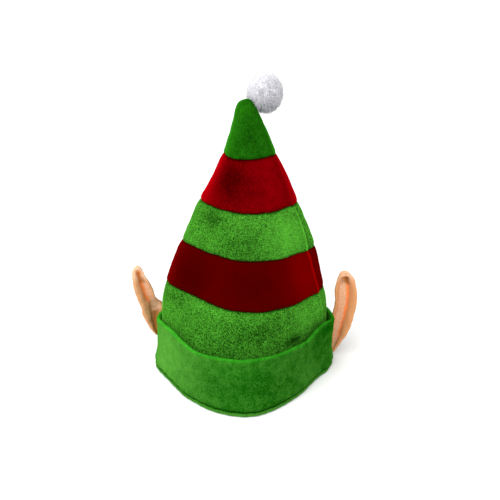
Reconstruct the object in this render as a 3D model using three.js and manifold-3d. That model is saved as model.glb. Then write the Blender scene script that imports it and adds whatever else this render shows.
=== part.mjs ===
// Elf hat: a tall striped cone of plush cloth with a turned-up cuff, a pompom and two soft ears.
// Millimetres, +Z up, the rim flat on the floor at z = 0, the front of the hat towards -Y.
// Angles are in degrees seen from above: 0 is the right side, 90 the back, 180 the left, -90 the front.

import * as THREE from "three";
import { mergeVertices } from "three/addons/utils/BufferGeometryUtils.js";
import Module from "manifold-3d";

// Crown
const CROWN_HEIGHT = 275; // floor to the blunt tip
const CROWN_HALF_WIDTH = 86; // axis to the side of the crown at the rim
const CLOTH_WALL = 2; // plush and its backing
const SEAM_TUCK = 1.3; // how far a stripe's edge sinks into its seam
const SEAM_PUFF = 4; // height over which a stripe swells out of its seam
const SEAM_GAP = 0.35; // room between two stripes
const SEAM_DROP = 3; // how much lower a slanting seam lies on the right than in the middle
const SIDE_SEAM_RIDGE = 1.1; // side seams stand out by this
const SIDE_SEAM_VALLEY = 2.2; // and the cloth behind them sinks by this
const DENT_DEPTH = 2; // hollows of the slack cloth

// Cuff and hem
const CUFF_TOP = 54; // floor to the cuff's folded edge, at the front
const CUFF_TOP_TILT = 1.7; // the folded edge is this much higher on the left, lower on the right
const CUFF_WAVE = 7; // rise of the highest wave in the folded edge
const CUFF_THICKNESS = 3.6; // two layers of plush
const CUFF_FOLD = 5; // thickness of the soft fold on top
const CUFF_EASE = 1.2; // room between the cuff and the crown
const CUFF_SLACK = 2.4; // more room where the cuff stands off
const HEM_HEIGHT = 4.5; // rolled edge on the floor
const HEM_PROUD = 0.7; // the roll stands out past the cuff

// Ears
const EAR_TOP = 100; // floor to the right ear's tip
const EAR_REACH = 25; // cuff to the outermost point of an ear
const EAR_SETBACK = 8; // the edges of an ear lie this far behind the hat's middle
const EAR_CUP = 9; // depth of the hollow in the ear
const EAR_WALL = 3; // padded cloth
const EAR_ROLL = 6.4; // padded outer rim
const SEAT_GAP = 0.3; // room between a sewn-on piece and what carries it

// Pompom
const POMPOM_RADIUS = 18; // axis to the ends of the tufts
const POMPOM_TALL = 1.08; // height as a share of width
const POMPOM_CORE_SHARE = 0.8; // radius of the dense middle
const POMPOM_TUFTS = 56;

// Side of the crown: height as a share of CROWN_HEIGHT, lean and half width of CROWN_HALF_WIDTH
const CROWN_PROFILE = [
  { up: 0, lean: -0.002, half: 1 },
  { up: 0.091, lean: -0.001, half: 1.004 },
  { up: 0.196, lean: 0.004, half: 1.001 },
  { up: 0.254, lean: 0.007, half: 0.998 },
  { up: 0.329, lean: 0.011, half: 0.959 },
  { up: 0.425, lean: 0.028, half: 0.866 },
  { up: 0.484, lean: 0.038, half: 0.802 },
  { up: 0.564, lean: 0.046, half: 0.692 },
  { up: 0.642, lean: 0.05, half: 0.561 },
  { up: 0.727, lean: 0.07, half: 0.428 },
  { up: 0.813, lean: 0.075, half: 0.301 },
  { up: 0.891, lean: 0.06, half: 0.209 },
  { up: 0.953, lean: 0.034, half: 0.128 },
  { up: 0.973, lean: 0.03, half: 0.109 },
  { up: 0.985, lean: 0.029, half: 0.088 },
  { up: 0.994, lean: 0.032, half: 0.058 },
  { up: 1, lean: 0.037, half: 0 },
];

// Plan of the crown: radius as a share of the half width, by the hours of a clock seen from above
// with three at the right side, six at the front and twelve at the back
const CROWN_PLAN = [
  { up: 0, h3: 1, h4: 0.88, h5: 0.98, h6: 1.165, h7: 1.02, h8: 0.93, h9: 1,
    h10: 0.93, h11: 1.025, h12: 1.13, h1: 1.025, h2: 0.92 },
  { up: 0.196, h3: 1, h4: 0.87, h5: 0.92, h6: 1.05, h7: 0.98, h8: 0.88, h9: 1,
    h10: 0.9, h11: 0.98, h12: 1.04, h1: 0.97, h2: 0.89 },
  { up: 0.328, h3: 0.98, h4: 0.83, h5: 0.84, h6: 0.87, h7: 0.785, h8: 0.79, h9: 0.99,
    h10: 0.84, h11: 0.88, h12: 0.93, h1: 0.88, h2: 0.84 },
  { up: 0.484, h3: 0.98, h4: 0.77, h5: 0.745, h6: 0.765, h7: 0.76, h8: 0.775, h9: 0.98,
    h10: 0.8, h11: 0.83, h12: 0.85, h1: 0.83, h2: 0.8 },
  { up: 0.642, h3: 1, h4: 0.865, h5: 0.905, h6: 0.95, h7: 0.87, h8: 0.845, h9: 1,
    h10: 0.88, h11: 0.9, h12: 0.92, h1: 0.9, h2: 0.88 },
  { up: 0.813, h3: 1, h4: 0.93, h5: 0.92, h6: 1.04, h7: 1.09, h8: 1.02, h9: 1,
    h10: 0.99, h11: 1, h12: 1, h1: 0.97, h2: 0.97 },
  { up: 0.953, h3: 1, h4: 1, h5: 1, h6: 1, h7: 1, h8: 1, h9: 1,
    h10: 1, h11: 1, h12: 1, h1: 1, h2: 1 },
  { up: 1, h3: 1, h4: 1, h5: 1, h6: 1, h7: 1, h8: 1, h9: 1,
    h10: 1, h11: 1, h12: 1, h1: 1, h2: 1 },
];
const HOURS = ["h3", "h2", "h1", "h12", "h11", "h10", "h9", "h8", "h7", "h6", "h5", "h4"];

// Hollows (deep > 0) and swells (deep < 0) of the slack cloth, as shares of DENT_DEPTH: the middle's
// direction and height share, and how far each goes to the side (degrees) and up (height share)
const CROWN_DENTS = [
  { angle: -105, up: 0.755, deep: 0.7, spread: 32, tall: 0.05 },
  { angle: -150, up: 0.6, deep: 0.9, spread: 24, tall: 0.06 },
  { angle: -88, up: 0.545, deep: 0.6, spread: 16, tall: 0.06 },
  { angle: -60, up: 0.57, deep: -0.6, spread: 22, tall: 0.07 },
  { angle: -128, up: 0.26, deep: -0.8, spread: 20, tall: 0.06 },
  { angle: -86, up: 0.29, deep: 0.9, spread: 22, tall: 0.035 },
  { angle: -34, up: 0.24, deep: 1.1, spread: 12, tall: 0.06 },
  { angle: 60, up: 0.4, deep: 1.2, spread: 26, tall: 0.09 },
  { angle: 118, up: 0.33, deep: 1, spread: 24, tall: 0.07 },
  { angle: 95, up: 0.66, deep: 0.8, spread: 34, tall: 0.07 },
  { angle: 180, up: 0.712, deep: 0.75, spread: 20, tall: 0.03 },
];

// Side seams, front panel to back panel: where, and on which side of it the cloth sinks
const SIDE_SEAMS = [
  { angle: -16, behind: 1 },
  { angle: 172, behind: -1 },
];
const SEAM_RIDGE_SPREAD = 3; // degrees
const SEAM_VALLEY_OFFSET = 6.5; // degrees behind the ridge
const SEAM_VALLEY_SPREAD = 4; // degrees
const SEAM_FULL_RADIUS = 45; // nearer the tip the side seams are finer

// Seams between stripes: height as a share of CROWN_HEIGHT, slant as a share of SEAM_DROP
const STRIPE_SEAMS = {
  baseTop: { up: 0.328, drop: 1 },
  lowerTop: { up: 0.484, drop: 1 },
  middleTop: { up: 0.6425, drop: 0.33 },
  upperTop: { up: 0.813, drop: 0 },
};

// Outside of the cuff from its lower edge up: share of its height, swell as a share of CUFF_THICKNESS
const CUFF_OUTSIDE = [
  { up: 0, swell: 0.72 },
  { up: 0.045, swell: 1.03 },
  { up: 0.13, swell: 0.83 },
  { up: 0.27, swell: 0.22 },
  { up: 0.5, swell: 0.17 },
  { up: 0.75, swell: 0.14 },
  { up: 0.9, swell: 0.22 },
];
const CUFF_INSIDE = [0.93, 0.5, 0];
const FOLD_TURNS = [10, 55, 105, 155]; // degrees round the soft fold, from its outer side over its top
// Waves in the folded edge: direction, rise as a share of CUFF_WAVE, how wide in degrees
const CUFF_WAVES = [
  { angle: -46, rise: -0.23, spread: 9 },
  { angle: -18, rise: 0.95, spread: 10 },
  { angle: -120, rise: -0.11, spread: 20 },
  { angle: 36, rise: 1, spread: 26 },
  { angle: 130, rise: 0.17, spread: 22 },
  { angle: 176, rise: -0.55, spread: 14 },
];
// Where the cuff stands off, or lies closer (room < 0): direction, room as a share of CUFF_SLACK,
// how wide in degrees
const CUFF_SLACKS = [
  { angle: -8, room: 1, spread: 24 },
  { angle: -54, room: 0.8, spread: 15 },
  { angle: 178, room: -0.25, spread: 20 },
];

// Ears from root to tip: height as a share of EAR_TOP, inner and outer edge as shares of EAR_REACH
// measured out from the cuff, depth of the hollow and setback of the inner edge as shares of
// EAR_CUP, fullness of the padding, how far the roll reaches round the tip (1 is all the way)
const RIGHT_EAR = [
  { up: 0.06, inner: 0, outer: 0.1, cup: 0.05, back: 0, full: 0.55, lip: 0 },
  { up: 0.15, inner: 0, outer: 0.36, cup: 0.4, back: 0.4, full: 0.8, lip: 0 },
  { up: 0.25, inner: 0, outer: 0.62, cup: 0.7, back: 0.6, full: 0.95, lip: 0 },
  { up: 0.35, inner: 0, outer: 0.78, cup: 0.9, back: 0.6, full: 1, lip: 0 },
  { up: 0.46, inner: 0.02, outer: 0.87, cup: 1, back: 0.5, full: 1, lip: 0 },
  { up: 0.57, inner: 0.08, outer: 0.94, cup: 1, back: 0.3, full: 1, lip: 0 },
  { up: 0.67, inner: 0.07, outer: 0.96, cup: 1, back: 0.1, full: 1, lip: 0 },
  { up: 0.76, inner: 0.03, outer: 0.94, cup: 0.95, back: 0, full: 1, lip: 0 },
  { up: 0.86, inner: 0.08, outer: 0.86, cup: 0.85, back: 0, full: 1, lip: 0 },
  { up: 0.905, inner: 0.12, outer: 0.79, cup: 0.75, back: 0, full: 1, lip: 0 },
  { up: 0.94, inner: 0.17, outer: 0.7, cup: 0.3, back: 0, full: 0.9, lip: 1 },
  { up: 0.99, inner: 0.27, outer: 0.53, cup: 0.1, back: 0, full: 0.5, lip: 1 },
];
const LEFT_EAR = [
  { up: 0.25, inner: 0, outer: 0.09, cup: 0.05, back: 0.3, full: 0.55, lip: 0 },
  { up: 0.33, inner: 0, outer: 0.33, cup: 0.4, back: 0.8, full: 0.8, lip: 0 },
  { up: 0.41, inner: 0, outer: 0.49, cup: 0.7, back: 1.2, full: 0.9, lip: 0 },
  { up: 0.47, inner: -0.14, outer: 0.58, cup: 0.9, back: 1.5, full: 1, lip: 0 },
  { up: 0.52, inner: -0.22, outer: 0.64, cup: 1, back: 1.6, full: 1, lip: 0 },
  { up: 0.56, inner: -0.2, outer: 0.66, cup: 1, back: 1.6, full: 1, lip: 0 },
  { up: 0.59, inner: -0.17, outer: 0.7, cup: 1, back: 1.4, full: 1, lip: 0 },
  { up: 0.62, inner: -0.02, outer: 0.74, cup: 1, back: 1.1, full: 1, lip: 0 },
  { up: 0.66, inner: 0.11, outer: 0.8, cup: 1, back: 0.8, full: 1, lip: 0 },
  { up: 0.75, inner: 0.15, outer: 0.89, cup: 0.95, back: 0.5, full: 1, lip: 0 },
  { up: 0.84, inner: 0.26, outer: 0.93, cup: 0.85, back: 0.2, full: 1, lip: 0 },
  { up: 0.93, inner: 0.41, outer: 0.93, cup: 0.6, back: 0, full: 0.9, lip: 0 },
  { up: 0.97, inner: 0.47, outer: 0.91, cup: 0.45, back: 0, full: 0.9, lip: 0.1 },
  { up: 1.01, inner: 0.53, outer: 0.88, cup: 0.15, back: 0, full: 0.8, lip: 1 },
  { up: 1.05, inner: 0.63, outer: 0.76, cup: 0.05, back: 0, full: 0.35, lip: 1 },
];
// Cloth across an ear from its inner to its outer edge: shares of EAR_WALL and EAR_ROLL each side,
// and what the lip at the tip adds, as a share of EAR_ROLL
const EAR_ACROSS = [
  { along: 0, wall: 0, roll: 0, lip: 0 },
  { along: 0.04, wall: 0.42, roll: 0, lip: 0.05 },
  { along: 0.12, wall: 0.5, roll: 0, lip: 0.14 },
  { along: 0.2, wall: 0.3, roll: 0, lip: 0.26 },
  { along: 0.38, wall: 0.5, roll: 0, lip: 0.3 },
  { along: 0.56, wall: 0.45, roll: 0, lip: 0.3 },
  { along: 0.66, wall: 0.22, roll: 0, lip: 0.36 },
  { along: 0.73, wall: 0, roll: 0.36, lip: 0.12 },
  { along: 0.84, wall: 0, roll: 0.5, lip: 0 },
  { along: 0.94, wall: 0, roll: 0.36, lip: 0 },
  { along: 1, wall: 0, roll: 0, lip: 0 },
];

// Where the pompom's middle lies from the tip, as shares of POMPOM_RADIUS
const POMPOM_SIDE = { right: 0.93, back: 0.42, up: 0.24 };
const CORE_SEGMENTS = { around: 12, up: 8 };
const TUFT_REACHES = [1, 0.95, 0.983, 0.967]; // lengths of neighbouring tufts
const TUFT_TURNS = 3; // neighbouring tufts are turned by this part of a side
// One tuft from inside the core out: distance and half width as shares of POMPOM_RADIUS
const TUFT_SIDES = 5;
const TUFT_LEVELS = [
  { at: 0.6, half: 0.22 },
  { at: 0.87, half: 0.24 },
  { at: 1, half: 0 },
];

const COLORS = {
  green: 0x2f9a1c,
  darkGreen: 0x23831a,
  red: 0xa8000f,
  darkRed: 0x780007,
  peach: 0xe9b98b,
  white: 0xf1eff2,
};
const CLOTH_ROUGHNESS = 0.9;

const COLUMNS_EVEN = 44;
const COLUMN_CLEAR = 3; // degrees kept free of even columns next to a side seam's own columns
const SEAM_COLUMNS = [-3.5, 0, 3.5, 6.5, 10.5];

const wasm = await Module();
wasm.setup();

const radians = (degrees) => (degrees * Math.PI) / 180;
const turnFrom = (a, b) => ((((a - b + 180) % 360) + 360) % 360) - 180;
const bell = (distance, spread) => Math.exp(-((distance / spread) ** 2));
const lerp = (a, b, t) => a + (b - a) * t;

// Smooth curve through a table's column at the height share up.
function along(table, key, up) {
  const last = table.length - 1;
  let k = 0;
  while (k < last - 1 && table[k + 1].up < up) k += 1;
  const slope = (i) => {
    const lower = table[Math.max(0, i - 1)];
    const upper = table[Math.min(last, i + 1)];
    return (upper[key] - lower[key]) / (upper.up - lower.up);
  };
  const span = table[k + 1].up - table[k].up;
  const t = Math.min(1, Math.max(0, (up - table[k].up) / span));
  const startPull = (1 + 2 * t) * (1 - t) ** 2;
  const endPull = t * t * (3 - 2 * t);
  const startSlope = t * (1 - t) ** 2 * span * slope(k);
  const endSlope = t * t * (t - 1) * span * slope(k + 1);
  return table[k][key] * startPull + table[k + 1][key] * endPull + startSlope + endSlope;
}

// Smooth closed curve through twelve values a clock hour apart, at an angle.
function aroundClock(values, angle) {
  const step = 360 / values.length;
  const place = (((angle % 360) + 360) % 360) / step;
  const k = Math.floor(place);
  const t = place - k;
  const at = (i) => values[(i + values.length) % values.length];
  const before = at(k - 1);
  const start = at(k);
  const end = at(k + 1);
  const after = at(k + 2);
  const bend = 2 * before - 5 * start + 4 * end - after;
  const turn = 3 * (start - end) + after - before;
  return start + (t * (end - before + t * (bend + t * turn))) / 2;
}

function leanAt(z) {
  return CROWN_HALF_WIDTH * along(CROWN_PROFILE, "lean", z / CROWN_HEIGHT);
}

function sideSeamRelief(angle) {
  return SIDE_SEAMS.reduce((sum, seam) => {
    const off = turnFrom(angle, seam.angle);
    const valley = off - seam.behind * SEAM_VALLEY_OFFSET;
    const ridge = SIDE_SEAM_RIDGE * bell(off, SEAM_RIDGE_SPREAD);
    return sum + ridge - SIDE_SEAM_VALLEY * bell(valley, SEAM_VALLEY_SPREAD);
  }, 0);
}

function dentRelief(up, angle) {
  return CROWN_DENTS.reduce((sum, dent) => {
    const side = bell(turnFrom(angle, dent.angle), dent.spread);
    return sum - DENT_DEPTH * dent.deep * side * bell(up - dent.up, dent.tall);
  }, 0);
}

// Crown without seams and dents: distance from its leaning axis at a height and direction.
function plainRadius(z, angle) {
  const up = z / CROWN_HEIGHT;
  const half = CROWN_HALF_WIDTH * Math.max(0, along(CROWN_PROFILE, "half", up));
  const shares = HOURS.map((hour) => along(CROWN_PLAN, hour, up));
  return half * aroundClock(shares, angle);
}

// Outside of the crown with its side seams and dents.
function crownRadius(z, angle) {
  const plain = plainRadius(z, angle);
  const fade = Math.min(1, plain / SEAM_FULL_RADIUS);
  return plain + fade * (dentRelief(z / CROWN_HEIGHT, angle) + sideSeamRelief(angle));
}

function pointAt(z, angle, radius) {
  const turn = radians(angle);
  return new THREE.Vector3(leanAt(z) + radius * Math.cos(turn), radius * Math.sin(turn), z);
}

function columnAngles() {
  const own = SIDE_SEAMS.flatMap((seam) =>
    SEAM_COLUMNS.map((offset) => seam.angle + seam.behind * offset)
  );
  const even = Array.from({ length: COLUMNS_EVEN }, (_, i) => (i * 360) / COLUMNS_EVEN);
  const free = even.filter((a) => own.every((b) => Math.abs(turnFrom(a, b)) > COLUMN_CLEAR));
  return [...own, ...free].map((a) => ((a % 360) + 360) % 360).sort((a, b) => a - b);
}
const COLUMNS = columnAngles();

const SAME_PLACE = 1e-4; // points nearer than this are one point

// Closed body from triangles; those with two corners in one place are left out.
function bodyFrom(triangles) {
  const apart = (a, b) => a.distanceTo(b) > SAME_PLACE;
  const solid = triangles.filter(([a, b, c]) => apart(a, b) && apart(b, c) && apart(c, a));
  const geometry = new THREE.BufferGeometry().setFromPoints(solid.flat());
  return mergeVertices(geometry, SAME_PLACE);
}

// Body swept round through loops of points: each loop joins the next, and the last the first.
function ringBody(loops) {
  const triangles = [];
  loops.forEach((loop, k) => {
    const next = loops[(k + 1) % loops.length];
    loop.forEach((point, j) => {
      const i = (j + 1) % loop.length;
      triangles.push([point, loop[i], next[i]], [point, next[i], next[j]]);
    });
  });
  return bodyFrom(triangles);
}

// Body through stacked closed outlines, with both ends filled from their middle.
function stackBody(outlines) {
  const triangles = [];
  const middle = (outline) =>
    outline.reduce((sum, p) => sum.add(p), new THREE.Vector3()).divideScalar(outline.length);
  const bottom = outlines[0];
  const top = outlines[outlines.length - 1];
  const bottomMiddle = middle(bottom);
  const topMiddle = middle(top);
  bottom.forEach((point, j) => {
    const i = (j + 1) % bottom.length;
    triangles.push([bottomMiddle, bottom[i], point], [topMiddle, top[j], top[i]]);
  });
  outlines.slice(0, -1).forEach((outline, k) => {
    const next = outlines[k + 1];
    outline.forEach((point, j) => {
      const i = (j + 1) % outline.length;
      triangles.push([point, outline[i], next[i]], [point, next[i], next[j]]);
    });
  });
  return bodyFrom(triangles);
}

function seamHeight(seam, angle) {
  return CROWN_HEIGHT * seam.up - SEAM_DROP * seam.drop * Math.cos(radians(angle));
}

// How far the outside sinks at a distance from a seam.
function tuckAt(distance) {
  return SEAM_TUCK * bell(Math.max(0, distance), SEAM_PUFF / 2);
}

// Heights of a stripe's outer loops, as shares of the stripe.
const STRIPE_OUTSIDE = [0, 0.07, 0.22, 0.5, 0.78, 0.93, 1];
const STRIPE_INSIDE = [1, 0.5, 0];

function stripe(lowerEdge, upperEdge) {
  const outer = STRIPE_OUTSIDE.map((share) =>
    COLUMNS.map((angle) => {
      const low = lowerEdge(angle);
      const high = upperEdge(angle);
      const z = lerp(low, high, share);
      const tuck = tuckAt(z - low) + tuckAt(high - z);
      return pointAt(z, angle, crownRadius(z, angle) - tuck);
    })
  );
  const inner = STRIPE_INSIDE.map((share) =>
    COLUMNS.map((angle) => {
      const z = lerp(lowerEdge(angle), upperEdge(angle), share);
      return pointAt(z, angle, crownRadius(z, angle) - SEAM_TUCK - CLOTH_WALL);
    })
  );
  return ringBody([...outer, ...inner]);
}

const above = (seam) => (angle) => seamHeight(seam, angle) + SEAM_GAP / 2;
const below = (seam) => (angle) => seamHeight(seam, angle) - SEAM_GAP / 2;
const aboveHem = () => HEM_HEIGHT + SEAM_GAP;

// Heights of the tip panel's loops as shares of what lies above its seam.
const TIP_OUTSIDE = [0, 0.06, 0.2, 0.42, 0.62, 0.8, 0.9, 0.955, 0.985, 1];
const TIP_INSIDE = [0.93, 0.84, 0.6, 0.3, 0];

function tipLoops(shares, inset) {
  const seam = STRIPE_SEAMS.upperTop;
  return shares.map((share) =>
    COLUMNS.map((angle) => {
      const low = above(seam)(angle);
      const z = lerp(low, CROWN_HEIGHT, share);
      const tuck = tuckAt(z - low);
      return pointAt(z, angle, Math.max(0, crownRadius(z, angle) - tuck - inset));
    })
  );
}

function tipPanel() {
  const outer = tipLoops(TIP_OUTSIDE, 0);
  const inner = tipLoops(TIP_INSIDE, CLOTH_WALL + SEAM_TUCK);
  const roof = pointAt(inner[0][0].z, 0, 0);
  return ringBody([...outer, COLUMNS.map(() => roof), ...inner]);
}

// Sum of a table's bells at an angle.
function wavesAt(table, key, angle) {
  return table.reduce((sum, row) => sum + row[key] * bell(turnFrom(angle, row.angle), row.spread), 0);
}

function cuffTop(angle) {
  const tilt = CUFF_TOP_TILT * Math.cos(radians(angle));
  return CUFF_TOP - tilt + CUFF_WAVE * wavesAt(CUFF_WAVES, "rise", angle);
}

function cuffInside(z, angle) {
  const slack = CUFF_SLACK * wavesAt(CUFF_SLACKS, "room", angle);
  const widest = Math.max(plainRadius(z, angle), crownRadius(z, angle));
  return widest + CUFF_EASE + slack * Math.min(1, z / CUFF_TOP);
}

function cuffOutside(z, angle) {
  const bottom = aboveHem();
  const up = Math.min(1, Math.max(0, (z - bottom) / (cuffTop(angle) - bottom)));
  return cuffInside(z, angle) + CUFF_THICKNESS * (1 + along(CUFF_OUTSIDE, "swell", up));
}

function cuff() {
  const bottom = aboveHem();
  const fold = CUFF_FOLD / 2;
  const heightAt = (angle, up) => lerp(bottom, cuffTop(angle) - fold, up);
  const outer = CUFF_OUTSIDE.map((row) =>
    COLUMNS.map((angle) => {
      const z = heightAt(angle, row.up);
      return pointAt(z, angle, cuffInside(z, angle) + CUFF_THICKNESS * (1 + row.swell));
    })
  );
  const folded = FOLD_TURNS.map((turn) =>
    COLUMNS.map((angle) => {
      const base = heightAt(angle, 1);
      const middle = cuffInside(base, angle) + fold;
      const z = base + fold * Math.sin(radians(turn));
      return pointAt(z, angle, middle + fold * Math.cos(radians(turn)));
    })
  );
  const inner = CUFF_INSIDE.map((up) =>
    COLUMNS.map((angle) => {
      const z = heightAt(angle, up);
      return pointAt(z, angle, cuffInside(z, angle));
    })
  );
  return ringBody([...outer, ...folded, ...inner]);
}

// Section of the hem roll: side 0 is its inner and 1 its outer face; inset and height as shares of
// HEM_HEIGHT
const HEM_SECTION = [
  { side: 1, inset: 0.4, up: 0 },
  { side: 1, inset: 0.045, up: 0.28 },
  { side: 1, inset: 0, up: 0.6 },
  { side: 1, inset: 0.27, up: 1 },
  { side: 0, inset: 0.13, up: 1 },
  { side: 0, inset: 0, up: 0.55 },
  { side: 0, inset: 0.22, up: 0 },
];

function hemRoll() {
  const loops = HEM_SECTION.map((row) =>
    COLUMNS.map((angle) => {
      const z = HEM_HEIGHT * row.up;
      const inner = crownRadius(HEM_HEIGHT, angle) - SEAM_TUCK - CLOTH_WALL;
      const outer = cuffOutside(HEM_HEIGHT, angle) + HEM_PROUD;
      const inset = HEM_HEIGHT * row.inset;
      return pointAt(z, angle, row.side ? outer - inset : inner + inset);
    })
  );
  return ringBody(loops);
}

// Nearest the middle of an ear's cloth may come to the cuff, or above the cuff to the crown.
function keptClear(z, point, halfWall) {
  const offset = point.x - leanAt(z);
  const angle = (Math.atan2(point.y, offset) * 180) / Math.PI;
  const onCuff = z < cuffTop(angle) + CUFF_THICKNESS;
  const carrier = onCuff ? cuffOutside(z, angle) : crownRadius(z, angle);
  const least = carrier + SEAT_GAP + halfWall;
  return Math.hypot(offset, point.y) < least ? pointAt(z, angle, least) : point;
}

// One level of an ear: the line through the middle of its cloth, then both faces set off from it.
function earOutline(row, side) {
  const z = EAR_TOP * row.up;
  const sideAngle = side > 0 ? 0 : 180;
  const root = Math.abs(pointAt(CUFF_TOP / 2, sideAngle, cuffOutside(CUFF_TOP / 2, sideAngle)).x);
  const innerX = root + EAR_REACH * row.inner;
  const outerX = root + EAR_REACH * row.outer;
  const halves = EAR_ACROSS.map((cloth) => {
    const roll = cloth.roll + cloth.lip * row.lip;
    return row.full * (cloth.wall * EAR_WALL + roll * EAR_ROLL);
  });
  const line = EAR_ACROSS.map((cloth, k) => {
    const hollow = row.cup * Math.sin(Math.PI * cloth.along) + row.back * (1 - cloth.along);
    const x = side * lerp(innerX, outerX, cloth.along);
    const y = EAR_SETBACK + EAR_CUP * hollow;
    return keptClear(z, new THREE.Vector3(x, y, z), halves[k]);
  });
  const setOff = (k, sign) => {
    const before = line[Math.max(0, k - 1)];
    const after = line[Math.min(line.length - 1, k + 1)];
    const direction = after.clone().sub(before).normalize();
    const across = new THREE.Vector3(-direction.y, direction.x, 0);
    return line[k].clone().addScaledVector(across, sign * halves[k]);
  };
  const last = line.length - 1;
  const forward = line.map((_, k) => setOff(k, -side));
  const backward = line.slice(1, last).map((_, k) => setOff(last - 1 - k, side));
  const outline = [...forward, ...backward];
  return side > 0 ? outline : outline.reverse();
}

function ear(table, side) {
  return stackBody(table.map((row) => earOutline(row, side)));
}

function toSolid(geometry) {
  return new wasm.Manifold(
    new wasm.Mesh({
      numProp: 3,
      vertProperties: new Float32Array(geometry.attributes.position.array),
      triVerts: new Uint32Array(geometry.index.array),
    })
  );
}

function toGeometry(solid) {
  const mesh = solid.getMesh();
  const geometry = new THREE.BufferGeometry();
  geometry.setAttribute("position", new THREE.BufferAttribute(mesh.vertProperties, 3));
  geometry.setIndex(new THREE.BufferAttribute(mesh.triVerts, 1));
  return geometry;
}

// Even spread of directions over a ball, by the golden angle.
function spreadDirections(count) {
  const golden = Math.PI * (3 - Math.sqrt(5));
  return Array.from({ length: count }, (_, i) => {
    const up = 1 - (2 * i + 1) / count;
    const across = Math.sqrt(1 - up * up);
    const turn = i * golden;
    return new THREE.Vector3(across * Math.cos(turn), across * Math.sin(turn), up);
  });
}

// One lock of yarn: a many-sided spindle cut off inside the core, pointed at its outer end.
function tuft(direction, index) {
  const reach = POMPOM_RADIUS * TUFT_REACHES[index % TUFT_REACHES.length];
  const facing = new THREE.Quaternion().setFromUnitVectors(new THREE.Vector3(0, 0, 1), direction);
  const outlines = TUFT_LEVELS.map((level) =>
    Array.from({ length: TUFT_SIDES }, (_, i) => {
      const turn = ((i + (index % TUFT_TURNS) / TUFT_TURNS) * 2 * Math.PI) / TUFT_SIDES;
      const half = POMPOM_RADIUS * level.half;
      const local = new THREE.Vector3(half * Math.cos(turn), half * Math.sin(turn), reach * level.at);
      return local.applyQuaternion(facing);
    })
  );
  return stackBody(outlines);
}

function pompomCore() {
  const radius = POMPOM_RADIUS * POMPOM_CORE_SHARE;
  const core = new THREE.SphereGeometry(radius, CORE_SEGMENTS.around, CORE_SEGMENTS.up);
  core.deleteAttribute("normal");
  core.deleteAttribute("uv");
  return toSolid(mergeVertices(core, SAME_PLACE));
}

// Room that the tip of the crown takes in the pompom.
function tipRoom() {
  const loops = tipLoops(TIP_OUTSIDE, -SEAT_GAP);
  const cap = loops[loops.length - 1].map((p) => p.clone().setZ(p.z + SEAT_GAP));
  return toSolid(stackBody([...loops.slice(0, -1), cap]));
}

function pompom() {
  const locks = spreadDirections(POMPOM_TUFTS).map((direction, i) => toSolid(tuft(direction, i)));
  const ball = locks.reduce((sum, lock) => sum.add(lock), pompomCore());
  const top = pointAt(CROWN_HEIGHT, 0, 0);
  const middle = [
    top.x + POMPOM_RADIUS * POMPOM_SIDE.right,
    top.y + POMPOM_RADIUS * POMPOM_SIDE.back,
    top.z + POMPOM_RADIUS * POMPOM_SIDE.up,
  ];
  return toGeometry(ball.scale([1, 1, POMPOM_TALL]).translate(middle).subtract(tipRoom()));
}

function addPiece(group, name, geometry, color) {
  geometry.computeVertexNormals();
  const material = new THREE.MeshStandardMaterial({ color, roughness: CLOTH_ROUGHNESS });
  const mesh = new THREE.Mesh(geometry, material);
  mesh.name = name;
  group.add(mesh);
}

const { baseTop, lowerTop, middleTop, upperTop } = STRIPE_SEAMS;
const group = new THREE.Group();
group.name = "elf_hat";
addPiece(group, "tip_panel", tipPanel(), COLORS.darkGreen);
addPiece(group, "upper_red_stripe", stripe(above(middleTop), below(upperTop)), COLORS.red);
addPiece(group, "middle_green_stripe", stripe(above(lowerTop), below(middleTop)), COLORS.green);
addPiece(group, "lower_red_stripe", stripe(above(baseTop), below(lowerTop)), COLORS.darkRed);
addPiece(group, "base_green_panel", stripe(aboveHem, below(baseTop)), COLORS.green);
addPiece(group, "cuff", cuff(), COLORS.green);
addPiece(group, "hem_roll", hemRoll(), COLORS.darkGreen);
addPiece(group, "ear_right", ear(RIGHT_EAR, 1), COLORS.peach);
addPiece(group, "ear_left", ear(LEFT_EAR, -1), COLORS.peach);
addPiece(group, "pompom", pompom(), COLORS.white);

export default group;
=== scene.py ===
import math

import bmesh
import bpy
import numpy as np
from bpy.props import FloatProperty, FloatVectorProperty, IntProperty, PointerProperty
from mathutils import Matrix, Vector
from mathutils.bvhtree import BVHTree


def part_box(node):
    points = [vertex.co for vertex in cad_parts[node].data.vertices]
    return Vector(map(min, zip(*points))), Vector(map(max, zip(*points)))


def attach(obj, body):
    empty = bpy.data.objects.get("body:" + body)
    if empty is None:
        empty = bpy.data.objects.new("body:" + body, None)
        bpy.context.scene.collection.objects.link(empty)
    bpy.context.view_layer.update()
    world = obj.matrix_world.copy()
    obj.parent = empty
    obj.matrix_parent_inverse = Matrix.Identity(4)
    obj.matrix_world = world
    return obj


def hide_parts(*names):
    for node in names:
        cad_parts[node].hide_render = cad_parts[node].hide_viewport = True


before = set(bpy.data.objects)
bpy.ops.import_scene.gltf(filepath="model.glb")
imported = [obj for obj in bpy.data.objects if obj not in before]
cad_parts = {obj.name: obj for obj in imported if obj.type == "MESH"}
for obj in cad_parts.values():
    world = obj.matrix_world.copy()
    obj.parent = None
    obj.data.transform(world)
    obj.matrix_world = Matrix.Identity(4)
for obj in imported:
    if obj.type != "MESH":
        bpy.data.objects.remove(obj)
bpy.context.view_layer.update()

bl_info = {
    "name": "Elf Hat",
    "version": (1, 0, 0),
    "blender": (4, 5, 0),
    "location": "3D View > Sidebar > Elf Hat",
    "description": "Dresses the packed elf hat in velour, plush and fluff, and lights it",
    "category": "Object",
}

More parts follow.
